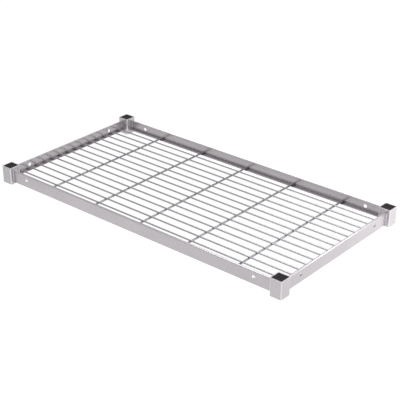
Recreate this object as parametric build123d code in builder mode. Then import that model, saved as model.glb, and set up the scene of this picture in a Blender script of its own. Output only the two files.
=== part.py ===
"""Boltless wire shelf: four corner sleeves, four rolled beams with ledges, and a drop-in wire deck.

Millimetres, +Z up. The origin is the centre of the footprint, at the level of the sleeves'
bottom rims. X runs along the shelf's length and Y along its depth, from front to back.
"""
from build123d import *
import os

# ---- driving dimensions -------------------------------------------------------------------
shelf_length = 914.0        # over the outer faces of the corner sleeves, 36 in
shelf_depth = 471.0         # over the outer faces of the corner sleeves, 18 1/2 in

sleeve_width = 33.0         # square corner sleeve
sleeve_wall = 2.3
sleeve_height = 46.4
sleeve_corner_radius = 3.0  # outside vertical edges

beam_sheet = 1.5            # rolled steel sheet
beam_inset = 9.5            # beam's outer face behind the sleeve's outer face
beam_bottom = 5.4           # height of the beam's lower edge
beam_height = 33.0
lip_reach = 4.5             # top lip, turned inward
lip_bend_radius = 2.4       # to the middle of the sheet

ledge_height = 12.7         # top face of the ledge that carries the deck
ledge_reach = 12.5          # from the beam's outer face to the ledge's free edge
ledge_leg = 7.0             # height of the leg that is welded inside the beam
ledge_bend_radius = 1.6     # to the middle of the sheet

hole_radius = 4.6           # one hole near each end of every beam
hole_height = 23.3
long_hole_spacing = 747.0   # between the two holes of a long beam
short_hole_spacing = 301.0  # between the two holes of a short beam

cross_wire_radius = 2.5
cross_wire_count = 5
cross_wire_pitch = 153.3    # about 6 in
long_wire_radius = 2.0
long_wire_count = 14
long_wire_pitch = 28.4
weld_set_down = 1.0         # long wires sink this far into the cross wires where they are welded
deck_clearance = 0.3        # deck's lowest wires above the ledge
wire_end_gap = 1.5          # wire end to the edge of the beam's lip, so that the deck lifts out
wire_end_break = 0.3        # chamfer on a cut wire end

cap_clearance = 0.15        # plug to sleeve bore, all round
cap_plate = 3.0
cap_recess = 0.4            # cap's top face below the sleeve's top rim
cap_depth = 16.0
cap_corner_radius = 1.2
cap_edge_break = 0.5
cap_wall = 1.8
cap_skirt_gap = 0.85        # plate's edge to the skirt's face, bridged by the ribs
cap_rib_width = 1.6

# ---- derived sizes ------------------------------------------------------------------------
beam_top = beam_bottom + beam_height
beam_length_long = shelf_length - 2 * sleeve_width
beam_length_short = shelf_depth - 2 * sleeve_width
sleeve_x = (shelf_length - sleeve_width) / 2
sleeve_y = (shelf_depth - sleeve_width) / 2
bore_width = sleeve_width - 2 * sleeve_wall
half_sheet = beam_sheet / 2
beam_face_x = shelf_length / 2 - beam_inset
beam_face_y = shelf_depth / 2 - beam_inset
cross_wire_height = ledge_height + deck_clearance + cross_wire_radius
long_wire_height = cross_wire_height + cross_wire_radius + long_wire_radius - weld_set_down
cross_wire_length = 2 * (beam_face_y - lip_reach - wire_end_gap)
long_wire_length = 2 * (beam_face_x - lip_reach - wire_end_gap)

os.makedirs("parts", exist_ok=True)


def save(builder, name):
    """Label a finished piece and write it as its own STEP file."""
    builder.part.label = name
    export_step(builder.part, f"parts/{name}.step")


# ---- corner sleeves and their end caps ----------------------------------------------------
def corner_sleeve(x, y):
    """Square tube, open at the bottom, that fits over a post or a stacking stub."""
    with BuildPart() as sleeve:
        with BuildSketch(Plane((x, y, 0))):
            RectangleRounded(sleeve_width, sleeve_width, sleeve_corner_radius)
            RectangleRounded(bore_width, bore_width, sleeve_corner_radius - sleeve_wall,
                             mode=Mode.SUBTRACT)
        extrude(amount=sleeve_height)
    return sleeve


def end_cap(x, y):
    """Moulded plug: a flat plate on a hollow square skirt with two ribs on each side."""
    top = sleeve_height - cap_recess
    plug_width = bore_width - 2 * cap_clearance
    skirt_width = plug_width - 2 * cap_skirt_gap
    skirt_bore = skirt_width - 2 * cap_wall
    rib_place = (skirt_width + cap_skirt_gap) / 2 - cap_wall / 2
    with BuildPart() as cap:
        with BuildSketch(Plane((x, y, top - cap_plate))):
            RectangleRounded(plug_width, plug_width, cap_corner_radius)
        extrude(amount=cap_plate)
        chamfer(cap.faces().sort_by(Axis.Z)[-1].edges(), cap_edge_break)
        with BuildSketch(Plane((x, y, top - cap_depth))):
            RectangleRounded(skirt_width, skirt_width, cap_corner_radius)
            for side in (-1, 1):
                for along in (-skirt_width / 4, skirt_width / 4):
                    with Locations((side * rib_place, along)):
                        Rectangle(cap_wall + cap_skirt_gap, cap_rib_width)
                    with Locations((along, side * rib_place)):
                        Rectangle(cap_rib_width, cap_wall + cap_skirt_gap)
            Rectangle(skirt_bore, skirt_bore, mode=Mode.SUBTRACT)
        extrude(amount=cap_depth - cap_plate)
    return cap


corners = {
    "front_left": (-sleeve_x, -sleeve_y),
    "front_right": (sleeve_x, -sleeve_y),
    "back_left": (-sleeve_x, sleeve_y),
    "back_right": (sleeve_x, sleeve_y),
}
for corner, (x, y) in corners.items():
    save(corner_sleeve(x, y), f"corner_sleeve_{corner}")
    save(end_cap(x, y), f"end_cap_{corner}")


# ---- beams and their ledges ---------------------------------------------------------------
def rolled_strip(side_plane, middle_line, bend_radius, length):
    """Sheet bent once along its length, between two sleeves.

    The side plane's origin is on the beam's outer face, half way along and at the sleeves'
    bottom rims. Its X axis points inward, its Y axis up and its Z axis along the beam.
    """
    with BuildPart() as strip:
        with BuildSketch(side_plane):
            with BuildLine():
                FilletPolyline(*middle_line, radius=bend_radius)
            trace(line_width=beam_sheet)
        extrude(amount=length / 2, both=True)
    return strip


def beam(side_plane, length, hole_spacing):
    """Outer wall of the rim, with its top lip turned inward and a hole near each end."""
    middle_line = [
        (lip_reach, beam_top - half_sheet),
        (half_sheet, beam_top - half_sheet),
        (half_sheet, beam_bottom),
    ]
    face_plane = Plane(side_plane.origin, x_dir=side_plane.z_dir, z_dir=side_plane.x_dir)
    hole_rise = hole_height * face_plane.y_dir.Z
    with BuildPart() as wall:
        add(rolled_strip(side_plane, middle_line, lip_bend_radius, length).part)
        with BuildSketch(face_plane):
            with Locations((-hole_spacing / 2, hole_rise), (hole_spacing / 2, hole_rise)):
                Circle(hole_radius)
        extrude(amount=2 * beam_sheet, both=True, mode=Mode.SUBTRACT)
    return wall


def ledge(side_plane, length):
    """Angle strip, spot-welded by its leg inside the beam, that carries the deck."""
    leg = beam_sheet + half_sheet
    middle_line = [
        (leg, ledge_height - ledge_leg),
        (leg, ledge_height - half_sheet),
        (ledge_reach, ledge_height - half_sheet),
    ]
    return rolled_strip(side_plane, middle_line, ledge_bend_radius, length)


sides = {
    "front": (Plane((0, -beam_face_y, 0), x_dir=(0, 1, 0), z_dir=(1, 0, 0)), True),
    "back": (Plane((0, beam_face_y, 0), x_dir=(0, -1, 0), z_dir=(-1, 0, 0)), True),
    "left": (Plane((-beam_face_x, 0, 0), x_dir=(1, 0, 0), z_dir=(0, -1, 0)), False),
    "right": (Plane((beam_face_x, 0, 0), x_dir=(-1, 0, 0), z_dir=(0, 1, 0)), False),
}
for side, (side_plane, is_long) in sides.items():
    length = beam_length_long if is_long else beam_length_short
    hole_spacing = long_hole_spacing if is_long else short_hole_spacing
    save(beam(side_plane, length, hole_spacing), f"{side}_beam")
    save(ledge(side_plane, length), f"{side}_ledge")


# ---- wire deck ----------------------------------------------------------------------------
def spread(count, pitch):
    """Places of evenly spaced wires, centred on zero."""
    return [(index - (count - 1) / 2) * pitch for index in range(count)]


def cross_wire(x):
    """Straight drawn wire that runs from front to back, with its cut ends just broken."""
    with BuildPart() as rod:
        with BuildSketch(Plane((x, 0, cross_wire_height), z_dir=(0, 1, 0))):
            Circle(cross_wire_radius)
        extrude(amount=cross_wire_length / 2, both=True)
        chamfer(rod.edges().filter_by(GeomType.CIRCLE), wire_end_break)
    return rod


def long_wire(y, crossings):
    """Straight drawn wire along the shelf, saddled over each cross wire that it is welded to."""
    with BuildPart() as rod:
        with BuildSketch(Plane((0, y, long_wire_height), z_dir=(1, 0, 0))):
            Circle(long_wire_radius)
        extrude(amount=long_wire_length / 2, both=True)
        chamfer(rod.edges().filter_by(GeomType.CIRCLE), wire_end_break)
        for x in crossings:
            with BuildSketch(Plane((x, y, cross_wire_height), z_dir=(0, 1, 0))):
                Circle(cross_wire_radius)
            extrude(amount=2 * long_wire_radius, both=True, mode=Mode.SUBTRACT)
    return rod


cross_wire_places = spread(cross_wire_count, cross_wire_pitch)
long_wire_places = spread(long_wire_count, long_wire_pitch)

for number, x in enumerate(cross_wire_places, start=1):
    save(cross_wire(x), f"cross_wire_{number}")

for number, y in enumerate(long_wire_places, start=1):
    save(long_wire(y, cross_wire_places), f"long_wire_{number:02d}")
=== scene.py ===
"""Looks for a boltless wire shelf: powder-coated sleeves, beams and ledges, black caps, wire deck.

Metres, +Z up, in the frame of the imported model. The places and outer sizes come from its nodes.
"""
import math

import bmesh
import bpy
from mathutils import Matrix, Vector


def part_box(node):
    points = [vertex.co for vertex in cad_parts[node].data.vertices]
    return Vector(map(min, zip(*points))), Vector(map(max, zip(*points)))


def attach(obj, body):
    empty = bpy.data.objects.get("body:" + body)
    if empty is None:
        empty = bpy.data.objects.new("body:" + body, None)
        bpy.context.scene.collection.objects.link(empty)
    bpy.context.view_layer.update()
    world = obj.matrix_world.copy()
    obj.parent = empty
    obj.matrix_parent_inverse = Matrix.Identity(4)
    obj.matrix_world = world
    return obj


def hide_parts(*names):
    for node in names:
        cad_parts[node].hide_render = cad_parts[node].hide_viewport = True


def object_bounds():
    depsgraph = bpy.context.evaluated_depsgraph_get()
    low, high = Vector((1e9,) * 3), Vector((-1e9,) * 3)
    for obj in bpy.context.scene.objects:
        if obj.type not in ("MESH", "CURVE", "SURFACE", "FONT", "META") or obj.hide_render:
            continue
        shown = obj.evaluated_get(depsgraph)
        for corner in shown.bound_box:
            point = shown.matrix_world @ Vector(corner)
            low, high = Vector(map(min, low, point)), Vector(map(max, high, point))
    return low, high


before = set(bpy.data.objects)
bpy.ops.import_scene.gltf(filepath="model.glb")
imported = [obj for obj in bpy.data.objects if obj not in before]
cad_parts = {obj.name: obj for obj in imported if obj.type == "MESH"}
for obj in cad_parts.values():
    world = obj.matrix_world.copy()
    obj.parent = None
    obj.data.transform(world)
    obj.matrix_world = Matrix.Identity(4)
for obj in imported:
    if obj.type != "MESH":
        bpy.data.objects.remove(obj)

cad_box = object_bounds()


# ---- camera --------------------------------------------------------------------------------
# A long lens on a tripod a little above the shelf, off its front right corner. It looks down
# at it and sees the outsides of the front and right beams and the insides of the other two.
tilt_up_from_floor = math.radians(63.247)
turn_from_front = math.radians(40.488)
camera = bpy.data.objects.new("camera", bpy.data.cameras.new("camera"))
bpy.context.scene.collection.objects.link(camera)
camera.location = (1.6080, -1.8528, 1.2408)
camera.rotation_euler = (tilt_up_from_floor, 0.0, turn_from_front)
camera.data.sensor_width = 36.0
camera.data.lens = 97.04
camera.data.clip_end = 50.0
bpy.context.scene.camera = camera


# ---- corner sleeves ------------------------------------------------------------------------
# Short lengths of square welded tube, sawn off and deburred, that drop over the unit's posts.
# Mild steel, phosphated and sprayed with a silver epoxy powder, then baked.
MM = 0.001
corners = ("front_left", "front_right", "back_left", "back_right")
flake_size = 1.3 * MM
mottle_size = 6 * MM            # small clouds of thinner and thicker coat
drift_size = 70 * MM            # slow change of tone along a piece
painted_shade_within = 6 * MM       # the painted shade darkens surfaces closer than this to another face
# near-white tone of the painted highlight on edges and bends
painted_highlight_tone = "F4F2F6"
peel_depth = 0.05 * MM


def linear(hex_colour):
    """An sRGB hex colour as linear red, green, blue and alpha."""
    channels = [int(hex_colour[place:place + 2], 16) / 255 for place in (0, 2, 4)]
    return (*((c / 12.92 if c <= 0.04045 else ((c + 0.055) / 1.055) ** 2.4) for c in channels), 1.0)


def add_node(tree, kind, attributes=None, sockets=None):
    """Add a node, set its attributes, and set or link its input sockets."""
    made = tree.nodes.new(kind)
    for name, value in (attributes or {}).items():
        setattr(made, name, value)
    for name, value in (sockets or {}).items():
        if isinstance(value, bpy.types.NodeSocket):
            tree.links.new(value, made.inputs[name])
        else:
            made.inputs[name].default_value = value
    return made


def powder_coat(name, shade, bright, painted_shade_colour, metallic, roughness, peel, corner=0.9 * MM,
                painted_shade_depth=0.75, painted_bend_highlight=0.0, end_marks=None):
    """Silver powder coat: a flake in a clear binder, with fine orange peel from baking.

    The eye gets a soft grey shine with a slight sparkle. Its colour holds a painted highlight
    on edges and bends, and a painted shade in inside corners. The flakes are about 0.05 mm,
    drawn here at 1.3 mm so that they show at all. Peel is the width of one ripple, corner is
    how far in from an edge the painted highlight reaches, and the bend highlight is how pale
    the rounded bends of tube and strip are painted. End marks adds dark marks to the painted
    shade: a function of the tree, the place and the mottle, which returns their strength.
    """
    coat = bpy.data.materials.new(name)
    coat.use_nodes = True
    tree = coat.node_tree
    shader = tree.nodes["Principled BSDF"]
    place = add_node(tree, "ShaderNodeTexCoord").outputs["Object"]

    flake = add_node(tree, "ShaderNodeTexVoronoi", sockets={
        "Vector": place, "Scale": 1 / flake_size})
    flake_tone = add_node(tree, "ShaderNodeRGBToBW", sockets={"Color": flake.outputs["Color"]})
    drift = add_node(tree, "ShaderNodeTexNoise", sockets={
        "Vector": place, "Scale": 1 / drift_size, "Detail": 3.0})
    mottle = add_node(tree, "ShaderNodeTexNoise", sockets={
        "Vector": place, "Scale": 1 / mottle_size, "Detail": 4.0, "Roughness": 0.6})
    sparkle = add_node(tree, "ShaderNodeMapRange", sockets={
        "Value": flake_tone.outputs["Val"], "From Min": 0.2, "From Max": 0.8,
        "To Min": 0.0, "To Max": 0.14})
    cloud = add_node(tree, "ShaderNodeMath", {"operation": "MULTIPLY_ADD"}, {
        0: drift.outputs["Fac"], 1: 0.6, 2: sparkle.outputs["Result"]})
    tone = add_node(tree, "ShaderNodeMix", {"data_type": "RGBA"}, {
        "Factor": cloud.outputs["Value"], "A": linear(shade), "B": linear(bright)})

    # The rounded corner turns the shading normal away from the face's own, which marks an edge.
    rounded = add_node(tree, "ShaderNodeBevel", {"samples": 6}, {"Radius": corner})
    face = add_node(tree, "ShaderNodeNewGeometry")
    turned = add_node(tree, "ShaderNodeVectorMath", {"operation": "DOT_PRODUCT"}, {
        0: rounded.outputs["Normal"], 1: face.outputs["Normal"]})
    edge = add_node(tree, "ShaderNodeMapRange", sockets={
        "Value": turned.outputs["Value"], "From Min": 1.0, "From Max": 0.85,
        "To Min": 0.0, "To Max": 1.4})
    # Painted highlight: the colour pales towards a near-white tone along the edges, in patches.
    painted_edge_highlight = add_node(tree, "ShaderNodeMath", {"operation": "MULTIPLY"}, {
        0: edge.outputs["Result"], 1: mottle.outputs["Fac"]})
    pale = painted_edge_highlight.outputs["Value"]
    if painted_bend_highlight:
        # Flat faces lie square to an axis, so a normal that does not is on a rounded bend: painted
        # highlight.
        facing = add_node(tree, "ShaderNodeVectorMath", {"operation": "ABSOLUTE"}, {
            0: face.outputs["Normal"]})
        parts = add_node(tree, "ShaderNodeSeparateXYZ", sockets={0: facing.outputs["Vector"]})
        sideways = add_node(tree, "ShaderNodeMath", {"operation": "MAXIMUM"}, {
            0: parts.outputs["X"], 1: parts.outputs["Y"]})
        squarest = add_node(tree, "ShaderNodeMath", {"operation": "MAXIMUM"}, {
            0: sideways.outputs["Value"], 1: parts.outputs["Z"]})
        bend = add_node(tree, "ShaderNodeMapRange", sockets={
            "Value": squarest.outputs["Value"], "From Min": 0.995, "From Max": 0.90,
            "To Min": 0.0, "To Max": painted_bend_highlight})
        pale = add_node(tree, "ShaderNodeMath", {"operation": "MAXIMUM"}, {
            0: pale, 1: bend.outputs["Result"]}).outputs["Value"]
    edged = add_node(tree, "ShaderNodeMix", {"data_type": "RGBA"}, {
        "Factor": pale, "A": tone.outputs["Result"], "B": linear(painted_highlight_tone)})

    # Painted shade: the colour darkens towards the dark tone where another face is within a few mm.
    occlusion_for_painted_shade = add_node(tree, "ShaderNodeAmbientOcclusion", {"samples": 6}, {
        "Distance": painted_shade_within})
    painted_shade_amount = add_node(tree, "ShaderNodeMapRange", sockets={
        "Value": occlusion_for_painted_shade.outputs["AO"], "From Min": 0.75, "From Max": 0.15,
        "To Min": 0.0, "To Max": painted_shade_depth})
    dark = painted_shade_amount.outputs["Result"]
    if end_marks:
        dark = add_node(tree, "ShaderNodeMath", {"operation": "MAXIMUM"}, {
            0: dark, 1: end_marks(tree, place, mottle.outputs["Fac"])}).outputs["Value"]
    painted_shade_and_marks = add_node(tree, "ShaderNodeMix", {"data_type": "RGBA"}, {
        "Factor": dark, "A": edged.outputs["Result"], "B": linear(painted_shade_colour)})
    tree.links.new(painted_shade_and_marks.outputs["Result"], shader.inputs["Base Color"])

    gloss = add_node(tree, "ShaderNodeMapRange", sockets={
        "Value": mottle.outputs["Fac"], "From Min": 0.3, "From Max": 0.7,
        "To Min": roughness - 0.04, "To Max": roughness + 0.05})
    tree.links.new(gloss.outputs["Result"], shader.inputs["Roughness"])

    ripple = add_node(tree, "ShaderNodeTexNoise", sockets={
        "Vector": place, "Scale": 1 / peel, "Detail": 2.0})
    grit = add_node(tree, "ShaderNodeMath", {"operation": "MULTIPLY_ADD"}, {
        0: flake_tone.outputs["Val"], 1: 0.12, 2: ripple.outputs["Fac"]})
    bump = add_node(tree, "ShaderNodeBump", sockets={
        "Strength": 0.35, "Distance": peel_depth, "Height": grit.outputs["Value"]})
    tree.links.new(bump.outputs["Normal"], shader.inputs["Normal"])
    shader.inputs["Metallic"].default_value = metallic
    return coat


sleeve_coat = powder_coat("silver_powder_coat_on_tube", shade="B1ADB1", bright="C8C4C9",
                          painted_shade_colour="5C595E", metallic=0.6, roughness=0.26, peel=2.2 * MM,
                          corner=2.2 * MM, painted_shade_depth=0.15, painted_bend_highlight=0.5)


saw_cut_edge = 0.4 * MM
flat_within = math.radians(0.5)
sharp_beyond = math.radians(40)


def dress(node, coat, edge_break):
    """Give a CAD node its finish, and take the sharpness off its cut edges."""
    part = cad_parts[node]
    part.data.materials.clear()
    part.data.materials.append(coat)
    weld = part.modifiers.new("joined_corners", "WELD")
    weld.merge_threshold = 0.001 * MM
    flat = part.modifiers.new("whole_faces", "DECIMATE")
    flat.decimate_type = "DISSOLVE"
    flat.angle_limit = flat_within
    broken = part.modifiers.new("broken_edges", "BEVEL")
    broken.width = edge_break
    broken.segments = 2
    broken.limit_method = "ANGLE"
    broken.angle_limit = sharp_beyond


for corner in corners:
    dress(f"corner_sleeve_{corner}", sleeve_coat, saw_cut_edge)


# ---- beams and ledges ----------------------------------------------------------------------
# Pairs of roll-formed strips: an outer wall with its top turned in, and an angle spot-welded
# inside it that the deck lies on. The same sprayed finish as the tube, on smoother strip.
sides = ("front", "back", "left", "right")
web_sheet = 1.5 * MM
cross_wire_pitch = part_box("cross_wire_2")[0].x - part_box("cross_wire_1")[0].x
long_wire_pitch = abs(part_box("long_wire_02")[0].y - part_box("long_wire_01")[0].y)
wire_end_mark_offset = (4.5 * MM, -3.0 * MM)      # the dark marks sit this far off each wire's line along x and y
web_middle = (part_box("right_beam")[1].x - web_sheet / 2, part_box("back_beam")[1].y - web_sheet / 2)
long_beam_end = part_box("front_beam")[1].x
ledge_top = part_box("front_ledge")[1].z
mark_reach = 7.0 * MM           # from a wire's middle to where its mark has faded out
mark_core = 1.0 * MM
mark_top = 20.0 * MM
mark_bottom = 13.0 * MM         # full strength from here down to the ledge
mark_strength = 0.72


def wire_end_marks(tree, place, mottle):
    """Dark marks inside the beams and on the ledges, beside the ends of the wires.

    The wires stand at even steps from the middle, a cross wire on it and long wires astride it,
    so folding a coordinate at half a step gives the distance to the nearest wire.
    """
    spot = add_node(tree, "ShaderNodeSeparateXYZ", sockets={0: place})
    gaps = []
    for axis, pitch, shift, nearest in (("X", cross_wire_pitch, wire_end_mark_offset[0], 0.0),
                                        ("Y", long_wire_pitch, wire_end_mark_offset[1],
                                         long_wire_pitch / 2)):
        moved = add_node(tree, "ShaderNodeMath", {"operation": "SUBTRACT"}, {
            0: spot.outputs[axis], 1: shift})
        fold = add_node(tree, "ShaderNodeMath", {"operation": "PINGPONG"}, {
            0: moved.outputs["Value"], 1: pitch / 2})
        gap = add_node(tree, "ShaderNodeMath", {"operation": "SUBTRACT"}, {
            0: fold.outputs["Value"], 1: nearest})
        gaps.append(add_node(tree, "ShaderNodeMath", {"operation": "ABSOLUTE"}, {
            0: gap.outputs["Value"]}).outputs["Value"])
    from_middle = [add_node(tree, "ShaderNodeMath", {"operation": "ABSOLUTE"}, {
        0: spot.outputs[axis]}).outputs["Value"] for axis in ("X", "Y")]
    on_short_side = add_node(tree, "ShaderNodeMath", {"operation": "GREATER_THAN"}, {
        0: from_middle[0], 1: long_beam_end})
    gap = add_node(tree, "ShaderNodeMix", {"data_type": "FLOAT"}, {
        "Factor": on_short_side.outputs["Value"], "A": gaps[0], "B": gaps[1]})
    mark = add_node(tree, "ShaderNodeMapRange", {"interpolation_type": "SMOOTHSTEP"}, {
        "Value": gap.outputs["Result"], "From Min": mark_reach, "From Max": mark_core,
        "To Max": mark_strength}).outputs["Result"]
    low_down = add_node(tree, "ShaderNodeMapRange", {"interpolation_type": "SMOOTHSTEP"}, {
        "Value": spot.outputs["Z"], "From Min": mark_top, "From Max": mark_bottom})
    above_ledge = add_node(tree, "ShaderNodeMath", {"operation": "GREATER_THAN"}, {
        0: spot.outputs["Z"], 1: ledge_top - web_sheet / 2})
    patchy = add_node(tree, "ShaderNodeMapRange", sockets={
        "Value": mottle, "From Min": 0.25, "From Max": 0.5, "To Min": 0.6})
    limits = [low_down.outputs["Result"], above_ledge.outputs["Value"],
              patchy.outputs["Result"]]
    for distance, wall in zip(from_middle, web_middle):
        inner_side = add_node(tree, "ShaderNodeMath", {"operation": "LESS_THAN"}, {
            0: distance, 1: wall})
        limits.append(inner_side.outputs["Value"])
    for limit in limits:
        mark = add_node(tree, "ShaderNodeMath", {"operation": "MULTIPLY"}, {
            0: mark, 1: limit}).outputs["Value"]
    return mark


strip_coat = powder_coat("silver_powder_coat_on_strip", shade="AEA9AD", bright="C4BFC3",
                         painted_shade_colour="3E3B40", metallic=0.6, roughness=0.24, peel=2.8 * MM,
                         painted_shade_depth=0.32, painted_bend_highlight=0.2, end_marks=wire_end_marks)
sheared_edge = 0.2 * MM
for side in sides:
    dress(f"{side}_beam", strip_coat, sheared_edge)
    dress(f"{side}_ledge", strip_coat, sheared_edge)


# ---- weld beads between the beams and the sleeves ------------------------------------------
# Two short fillets of weld metal stand in the corners at each end of each beam: one inside,
# from just above the ledge to just below the lip, and a longer one outside. They are laid by
# hand, so they are rippled, and they are sprayed over with everything else.
bead_radius = 1.9 * MM
bead_bottom = 14.5 * MM
bead_top = 33.0 * MM
bead_ripples = 11
bead_waist = 0.84               # width between two ripples, as a share of the full width
bead_end_round = 0.7 * bead_radius
bead_unevenness = 0.12 * MM
bead_height = (bead_bottom + bead_top) / 2
outside_bead_height = 22.0 * MM
outside_bead_stretch = (1.25, 1.25, 1.5)
# Painted highlight: the weld coat is a lighter copy of the silver coat on the strip.
bead_coat_painted_lighter = powder_coat("silver_powder_coat_painted_lighter_on_weld", shade="BDB9BD", bright="D6D2D6",
                        painted_shade_colour="5C595E", metallic=0.55, roughness=0.30, peel=1.6 * MM,
                        painted_shade_depth=0.3)


def pick(piece, kind, wanted):
    """In edit mode, select only the verts, edges or faces that are wanted."""
    bpy.ops.mesh.select_mode(type={"verts": "VERT", "edges": "EDGE", "faces": "FACE"}[kind])
    bpy.ops.mesh.select_all(action="DESELECT")
    mesh = bmesh.from_edit_mesh(piece.data)
    for element in getattr(mesh, kind):
        if wanted(element):
            element.select_set(True)
    bmesh.update_edit_mesh(piece.data)


def height_of(edge):
    """Height of the middle of an edge."""
    return (edge.verts[0].co.z + edge.verts[1].co.z) / 2


def copy_of(model, name, move):
    """A copy of a finished piece with its own mesh, moved in the mesh."""
    mesh = model.data.copy()
    mesh.transform(move)
    copy = bpy.data.objects.new(name, mesh)
    bpy.context.scene.collection.objects.link(copy)
    return copy


def weld_bead():
    """An upright rippled bead of weld, centred on the origin."""
    length = bead_top - bead_bottom
    bpy.ops.object.select_all(action="DESELECT")
    bpy.ops.mesh.primitive_cylinder_add(vertices=12, radius=bead_radius, depth=length)
    bead = bpy.context.object
    bpy.ops.object.mode_set(mode="EDIT")
    pick(bead, "edges", lambda edge: abs(height_of(edge)) < 0.01 * MM)
    bpy.ops.mesh.subdivide(number_cuts=2 * bead_ripples)
    step = length / (2 * bead_ripples + 1)
    for ripple in range(bead_ripples):
        waist = -length / 2 + (2 * ripple + 1) * step
        pick(bead, "verts", lambda vert: abs(vert.co.z - waist) < 0.1 * step)
        bpy.ops.transform.resize(value=(bead_waist, bead_waist, 1.0))
    pick(bead, "faces", lambda face: abs(face.normal.z) > 0.9)
    bpy.ops.mesh.bevel(offset=bead_end_round, segments=3, affect="EDGES")
    bpy.ops.mesh.select_all(action="SELECT")
    bpy.ops.transform.vertex_random(offset=bead_unevenness, uniform=0.5, normal=0.5, seed=4)
    bpy.ops.object.mode_set(mode="OBJECT")
    bpy.ops.object.shade_smooth_by_angle(angle=math.radians(60))
    return bead


bead_model = weld_bead()
bead_model.data.materials.append(bead_coat_painted_lighter)
for side in sides:
    low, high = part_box(f"{side}_beam")
    inner_face = {"front": low.y + web_sheet, "back": high.y - web_sheet,
                  "left": low.x + web_sheet, "right": high.x - web_sheet}[side]
    outer_face = {"front": low.y, "back": high.y, "left": low.x, "right": high.x}[side]
    runs_along_x = side in ("front", "back")
    for end, turn in (("start", 0.0), ("finish", math.pi)):
        along = (low if end == "start" else high)[0 if runs_along_x else 1]
        for where, face, height, stretch in (
                ("inside", inner_face, bead_height, (1.0, 1.0, 1.0)),
                ("outside", outer_face, outside_bead_height, outside_bead_stretch)):
            spot = (along, face) if runs_along_x else (face, along)
            place = (Matrix.Translation((*spot, height)) @ Matrix.Rotation(turn, 4, "X")
                     @ Matrix.Diagonal((*stretch, 1.0)))
            bead = copy_of(bead_model, f"weld_bead_{side}_{end}_{where}", place)
            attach(bead, "frame")
bpy.data.objects.remove(bead_model)


# ---- end caps ------------------------------------------------------------------------------
# Black polyethylene plugs, injection moulded, pushed into the tops of the sleeves. The plate
# has a raised border, a sunk middle with the nub of the gate, and a ribbed skirt below.
cap_border = 2.2 * MM
cap_sink = 0.45 * MM
cap_slope = 0.5 * MM        # width of the slope from the border down to the sunk middle
cap_plate = 3.0 * MM
cap_depth = 16.0 * MM
cap_corner = 1.2 * MM
skirt_gap = 0.85 * MM
skirt_wall = 1.8 * MM
rib_width = 1.6 * MM
rib_step = 0.4 * MM         # ribs stop this far inside the plate's edge and above the skirt's
gate_radius = 1.5 * MM
mould_radius = 0.3 * MM
grain_size = 0.9 * MM
rub_size = 7 * MM           # patches that hands and posts have rubbed
hair = 0.1 * MM             # allowance when faces and edges are picked by their place


def moulded_black(name):
    """Moulded black polyethylene: a spark-eroded grain of about 0.4 mm, drawn at 0.9 mm.

    The eye gets a deep grey that is never quite black, with a soft broad shine and a few pale
    scuffs where hands and posts have rubbed it.
    """
    plastic = bpy.data.materials.new(name)
    plastic.use_nodes = True
    tree = plastic.node_tree
    shader = tree.nodes["Principled BSDF"]
    place = add_node(tree, "ShaderNodeTexCoord").outputs["Object"]
    grain = add_node(tree, "ShaderNodeTexNoise", sockets={
        "Vector": place, "Scale": 1 / grain_size, "Detail": 3.0})
    rub = add_node(tree, "ShaderNodeTexNoise", sockets={
        "Vector": place, "Scale": 1 / rub_size, "Detail": 6.0, "Roughness": 0.7})
    scuff = add_node(tree, "ShaderNodeMapRange", sockets={
        "Value": rub.outputs["Fac"], "From Min": 0.52, "From Max": 0.72})
    tone = add_node(tree, "ShaderNodeMix", {"data_type": "RGBA"}, {
        "Factor": scuff.outputs["Result"], "A": linear("170F15"), "B": linear("30262D")})
    tree.links.new(tone.outputs["Result"], shader.inputs["Base Color"])
    shine = add_node(tree, "ShaderNodeMapRange", sockets={
        "Value": rub.outputs["Fac"], "From Min": 0.3, "From Max": 0.7,
        "To Min": 0.40, "To Max": 0.56})
    tree.links.new(shine.outputs["Result"], shader.inputs["Roughness"])
    bump = add_node(tree, "ShaderNodeBump", sockets={
        "Strength": 0.4, "Distance": 0.04 * MM, "Height": grain.outputs["Fac"]})
    tree.links.new(bump.outputs["Normal"], shader.inputs["Normal"])
    shader.inputs["IOR"].default_value = 1.51
    shader.inputs["Specular IOR Level"].default_value = 0.2
    return plastic


def add_box(low, high):
    """A box primitive between two corners, its place and size kept in its mesh."""
    low, high = Vector(low), Vector(high)
    bpy.ops.object.select_all(action="DESELECT")
    bpy.ops.mesh.primitive_cube_add(size=1.0, location=(low + high) / 2)
    bpy.context.object.scale = high - low
    bpy.ops.object.transform_apply(location=True, rotation=True, scale=True)
    return bpy.context.object


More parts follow.
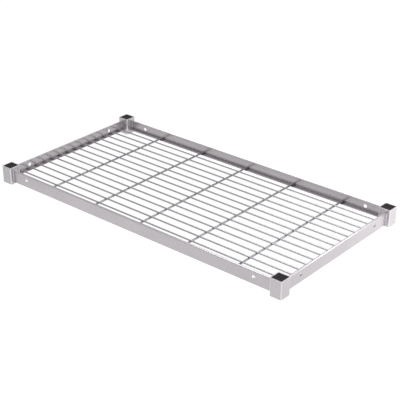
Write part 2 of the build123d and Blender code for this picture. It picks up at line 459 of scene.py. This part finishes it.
def plug(width):
    """A cap with the middle of its top face at the origin."""
    half = width / 2
    skirt = half - skirt_gap
    cap = add_box((-half, -half, -cap_plate), (half, half, 0))
    bpy.ops.object.mode_set(mode="EDIT")
    pick(cap, "faces", lambda face: face.normal.z > 0.9)
    bpy.ops.mesh.inset(thickness=cap_border)
    bpy.ops.mesh.inset(thickness=cap_slope, depth=-cap_sink)
    pick(cap, "faces", lambda face: face.normal.z < -0.9)
    bpy.ops.mesh.inset(thickness=skirt_gap)
    bpy.ops.mesh.inset(thickness=skirt_wall)
    middle = skirt - skirt_wall
    pick(cap, "faces", lambda face: face.normal.z < -0.9 and middle - hair < max(
        abs(face.calc_center_median().x), abs(face.calc_center_median().y)) < skirt)
    bpy.ops.mesh.extrude_region_move(
        TRANSFORM_OT_translate={"value": (0, 0, cap_plate - cap_depth)})
    pick(cap, "edges", lambda edge: abs(edge.verts[0].co.x) > skirt - hair and
         abs((edge.verts[0].co - edge.verts[1].co).z) > cap_plate / 2)
    bpy.ops.mesh.bevel(offset=cap_corner, segments=4, affect="EDGES")
    bpy.ops.object.mode_set(mode="OBJECT")

    moulded_on = []
    for sign in (-1, 1):
        for along in (-skirt / 2, skirt / 2):
            near = sorted((sign * (skirt - skirt_wall / 2), sign * (half - rib_step / 4)))
            across = (along - rib_width / 2, along + rib_width / 2)
            for x, y in ((near, across), (across, near)):
                moulded_on.append(add_box((x[0], y[0], rib_step - cap_depth),
                                          (x[1], y[1], -cap_plate / 2)))
    bpy.ops.mesh.primitive_cylinder_add(vertices=20, radius=gate_radius, depth=cap_sink,
                                        location=(0, 0, -cap_sink))
    moulded_on.append(bpy.context.object)
    for detail in moulded_on:
        detail.select_set(True)
    cap.select_set(True)
    bpy.context.view_layer.objects.active = cap
    bpy.ops.object.join()

    soft = cap.modifiers.new("moulded_edges", "BEVEL")
    soft.width = mould_radius
    soft.segments = 2
    soft.limit_method = "ANGLE"
    soft.angle_limit = sharp_beyond
    bpy.ops.object.modifier_apply(modifier=soft.name)
    cap.select_set(True)
    bpy.ops.object.shade_smooth_by_angle(angle=math.radians(35))
    return cap


black_plastic = moulded_black("moulded_black_polyethylene")
low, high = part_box("end_cap_front_left")
cap_model = plug(high.x - low.x)
cap_model.data.materials.append(black_plastic)
for corner in corners:
    low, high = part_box(f"end_cap_{corner}")
    top = Vector(((low.x + high.x) / 2, (low.y + high.y) / 2, high.z))
    cap = copy_of(cap_model, f"moulded_cap_{corner}", Matrix.Translation(top))
    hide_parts(f"end_cap_{corner}")
    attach(cap, "frame")
bpy.data.objects.remove(cap_model)


# ---- wire deck -----------------------------------------------------------------------------
# Cold-drawn wires, straightened and cropped to length: five thick ones from front to back
# below, and fourteen thin ones along the shelf on top, resistance-welded at each crossing.
# Painted shade: both wire coats are darker copies of the silver coat, the thick wires below darker
# still.
thin_wire_coat_painted_darker = powder_coat("silver_powder_coat_painted_darker_on_thin_wire", shade="9E9DA1",
                             bright="B8B6BB", painted_shade_colour="4E4C51", metallic=0.6, roughness=0.28,
                             peel=3.5 * MM)
thick_wire_coat_painted_darkest = powder_coat("silver_powder_coat_painted_darkest_on_thick_wire", shade="88878B",
                              bright="A09EA3", painted_shade_colour="454348", metallic=0.6, roughness=0.30,
                              peel=3.5 * MM)
crop_round = 0.5 * MM
crop_short = 0.4 * MM           # room for the askew ends inside the wire's whole length
crop_tilt = math.radians(5)


def cropped_wire(node, name, along, coat):
    """A drawn wire in a CAD wire's place, with rounded ends that are cut a little askew.

    Along is 0 for a wire along X and 1 for one along Y. It returns the middle of the wire.
    """
    low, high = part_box(node)
    middle = (low + high) / 2
    size = high - low
    radius = size[1 - along] / 2
    turn = (0, math.pi / 2, 0) if along == 0 else (math.pi / 2, 0, 0)
    bpy.ops.object.select_all(action="DESELECT")
    bpy.ops.mesh.primitive_cylinder_add(vertices=20, radius=radius,
                                        depth=size[along] - crop_short,
                                        location=middle, rotation=turn)
    wire = bpy.context.object
    wire.name = name
    bpy.ops.object.transform_apply(location=True, rotation=True, scale=True)
    bpy.ops.object.mode_set(mode="EDIT")
    pick(wire, "faces", lambda face: len(face.verts) > 4)
    bpy.ops.mesh.bevel(offset=crop_round, segments=3, affect="EDGES")
    for sign, tilt in ((-1, crop_tilt), (1, -crop_tilt)):
        pick(wire, "faces", lambda face: len(face.verts) > 4 and
             sign * (face.calc_center_median() - middle)[along] > 0)
        end = middle.copy()
        end[along] += sign * size[along] / 2
        bpy.ops.transform.rotate(value=tilt, orient_axis="Z", orient_type="GLOBAL",
                                 center_override=end)
    bpy.ops.object.mode_set(mode="OBJECT")
    bpy.ops.object.shade_smooth_by_angle(angle=math.radians(50))
    wire.data.materials.append(coat)
    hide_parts(node)
    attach(wire, "deck")
    return middle


cross_wires = sorted(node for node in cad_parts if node.startswith("cross_wire_"))
long_wires = sorted(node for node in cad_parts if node.startswith("long_wire_"))
cross_middles = [cropped_wire(node, f"cropped_{node}", 1, thick_wire_coat_painted_darkest)
                 for node in cross_wires]
long_middles = [cropped_wire(node, f"cropped_{node}", 0, thin_wire_coat_painted_darker)
                for node in long_wires]


# ---- weld nuggets at the crossings ---------------------------------------------------------
# Steel that the welding press squeezes out where a long wire sinks into a cross wire. Each is
# a low lump on both sides of the thin wire, and they differ a little in size.
nugget_size = Vector((2.7, 3.0, 1.5)) * MM
nugget_crown = (0.6, 1.25, 0.8)         # the top is squeezed narrow along the thin wire
nugget_unevenness = 0.25 * MM


def nugget():
    """A flat lump of squeezed-out steel, centred on the origin."""
    bpy.ops.object.select_all(action="DESELECT")
    bpy.ops.mesh.primitive_uv_sphere_add(segments=10, ring_count=6, radius=1.0)
    lump = bpy.context.object
    lump.scale = nugget_size
    bpy.ops.object.transform_apply(location=True, rotation=True, scale=True)
    bpy.ops.object.mode_set(mode="EDIT")
    pick(lump, "verts", lambda vert: vert.co.z > 0.7 * nugget_size.z)
    bpy.ops.transform.resize(value=nugget_crown)
    bpy.ops.mesh.select_all(action="SELECT")
    bpy.ops.transform.vertex_random(offset=nugget_unevenness, uniform=0.6, normal=0.4, seed=9)
    bpy.ops.object.mode_set(mode="OBJECT")
    bpy.ops.object.shade_smooth_by_angle(angle=math.radians(80))
    return lump


nugget_model = nugget()
nugget_model.data.materials.append(thick_wire_coat_painted_darkest)
cross_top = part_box(cross_wires[0])[1].z
long_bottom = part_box(long_wires[0])[0].z
nugget_height = (cross_top + long_bottom) / 2
for number, cross_middle in enumerate(cross_middles, start=1):
    bpy.ops.object.select_all(action="DESELECT")
    for row, long_middle in enumerate(long_middles):
        spin = Matrix.Rotation(math.pi * ((row * 3 + number) % 2), 4, "Z")
        swell = Matrix.Scale(0.9 + 0.05 * ((row * 5 + number * 2) % 5), 4)
        place = Matrix.Translation((cross_middle.x, long_middle.y, nugget_height))
        lump = copy_of(nugget_model, f"weld_nuggets_{number}_{row + 1:02d}",
                       place @ spin @ swell)
        lump.select_set(True)
        bpy.context.view_layer.objects.active = lump
    bpy.ops.object.join()
    row_of_nuggets = bpy.context.object
    row_of_nuggets.name = f"weld_nuggets_cross_wire_{number}"
    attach(row_of_nuggets, "deck")
bpy.data.objects.remove(nugget_model)


# ---- floor, world and lights ---------------------------------------------------------------
# A white sweep that glows, so that it takes no shadow. Its glow holds a painted shadow, weaker
# under the shelf and at its left end, and a painted pool of light, stronger on the right towards
# the lamps. Over it are a pale sky and three soft boxes: one low on the right, a small one close
# behind the right end, and one overhead.
glow_under_shelf = 1.0
glow_around = 1.19
glow_at_left = 1.03
glow_at_right = 1.45
left_fade = 0.14                # how far in from the left end the glow reaches its full strength
shade_inset = 20 * MM           # the shade under the shelf ends this far inside its outline
floor_drop = 0.2 * MM           # keeps the floor just clear of the sleeves' bottom rims
sky_glow = 0.50
bpy.ops.object.select_all(action="DESELECT")
bpy.ops.mesh.primitive_plane_add(size=60.0, location=(0.0, 0.0, -floor_drop))
floor = bpy.context.object
floor.name = "floor"
sweep = bpy.data.materials.new("white_sweep")
sweep.use_nodes = True
tree = sweep.node_tree
sweep_shader = tree.nodes["Principled BSDF"]
sweep_shader.inputs["Base Color"].default_value = linear("000000")
sweep_shader.inputs["Specular IOR Level"].default_value = 0.0
sweep_shader.inputs["Emission Color"].default_value = linear("FFFFFF")
floor_place = add_node(tree, "ShaderNodeTexCoord").outputs["Object"]
shade_edge = Vector(cad_box[1]) - Vector((shade_inset, shade_inset, 0.0))
share_of_half = add_node(tree, "ShaderNodeVectorMath", {"operation": "DIVIDE"}, {
    0: floor_place, 1: (shade_edge.x, shade_edge.y, 1.0)})
either_way = add_node(tree, "ShaderNodeVectorMath", {"operation": "ABSOLUTE"}, {
    0: share_of_half.outputs["Vector"]})
apart = add_node(tree, "ShaderNodeSeparateXYZ", sockets={0: either_way.outputs["Vector"]})
farthest = add_node(tree, "ShaderNodeMath", {"operation": "MAXIMUM"}, {
    0: apart.outputs["X"], 1: apart.outputs["Y"]})
spot = add_node(tree, "ShaderNodeSeparateXYZ", sockets={0: floor_place})
lit_end = add_node(tree, "ShaderNodeMapRange", sockets={
    "Value": spot.outputs["Y"], "From Min": -0.25, "From Max": 0.20,
    "To Min": glow_around, "To Max": glow_at_right})
left_end = add_node(tree, "ShaderNodeMapRange", sockets={
    "Value": spot.outputs["X"], "From Min": cad_box[0].x, "From Max": cad_box[0].x + left_fade,
    "To Min": glow_at_left, "To Max": glow_around})
right_of_shelf = add_node(tree, "ShaderNodeMapRange", sockets={
    "Value": spot.outputs["X"], "From Min": shade_edge.x, "From Max": cad_box[1].x})
around = add_node(tree, "ShaderNodeMix", {"data_type": "FLOAT"}, {
    "Factor": right_of_shelf.outputs["Result"], "A": left_end.outputs["Result"],
    "B": lit_end.outputs["Result"]})
# Painted shadow under the shelf and painted pool of light to the right, set in the floor's glow.
glow = add_node(tree, "ShaderNodeMapRange", sockets={
    "Value": farthest.outputs["Value"], "From Min": 0.98, "From Max": 1.02,
    "To Min": glow_under_shelf, "To Max": around.outputs["Result"]})
tree.links.new(glow.outputs["Result"], sweep_shader.inputs["Emission Strength"])
floor.data.materials.append(sweep)

sky = bpy.data.worlds.new("pale_sky")
bpy.context.scene.world = sky
sky.use_nodes = True
sky.node_tree.nodes["Background"].inputs["Color"].default_value = linear("FFFFFF")
sky.node_tree.nodes["Background"].inputs["Strength"].default_value = sky_glow


def soft_box(name, place, aim, size, power):
    """A square area light that shines from a place towards a point."""
    light = bpy.data.lights.new(name, "AREA")
    light.size = size
    light.energy = power
    lamp = bpy.data.objects.new(name, light)
    bpy.context.scene.collection.objects.link(lamp)
    lamp.location = place
    lamp.rotation_mode = "QUATERNION"
    lamp.rotation_quaternion = (Vector(aim) - Vector(place)).to_track_quat("-Z", "Y")
    lamp.visible_camera = False


soft_box("light_low_right", (1.20, 0.35, 0.35), (0.4, 0.0, 0.02), 0.7, 2.2)
soft_box("light_behind_right", (0.71, 0.42, 0.40), (0.447, 0.0, 0.038), 0.45, 2.4)
soft_box("light_overhead", (0.0, 0.0, 2.6), (0.0, 0.0, 0.0), 2.0, 50.0)
bpy.context.scene.view_settings.view_transform = "Standard"
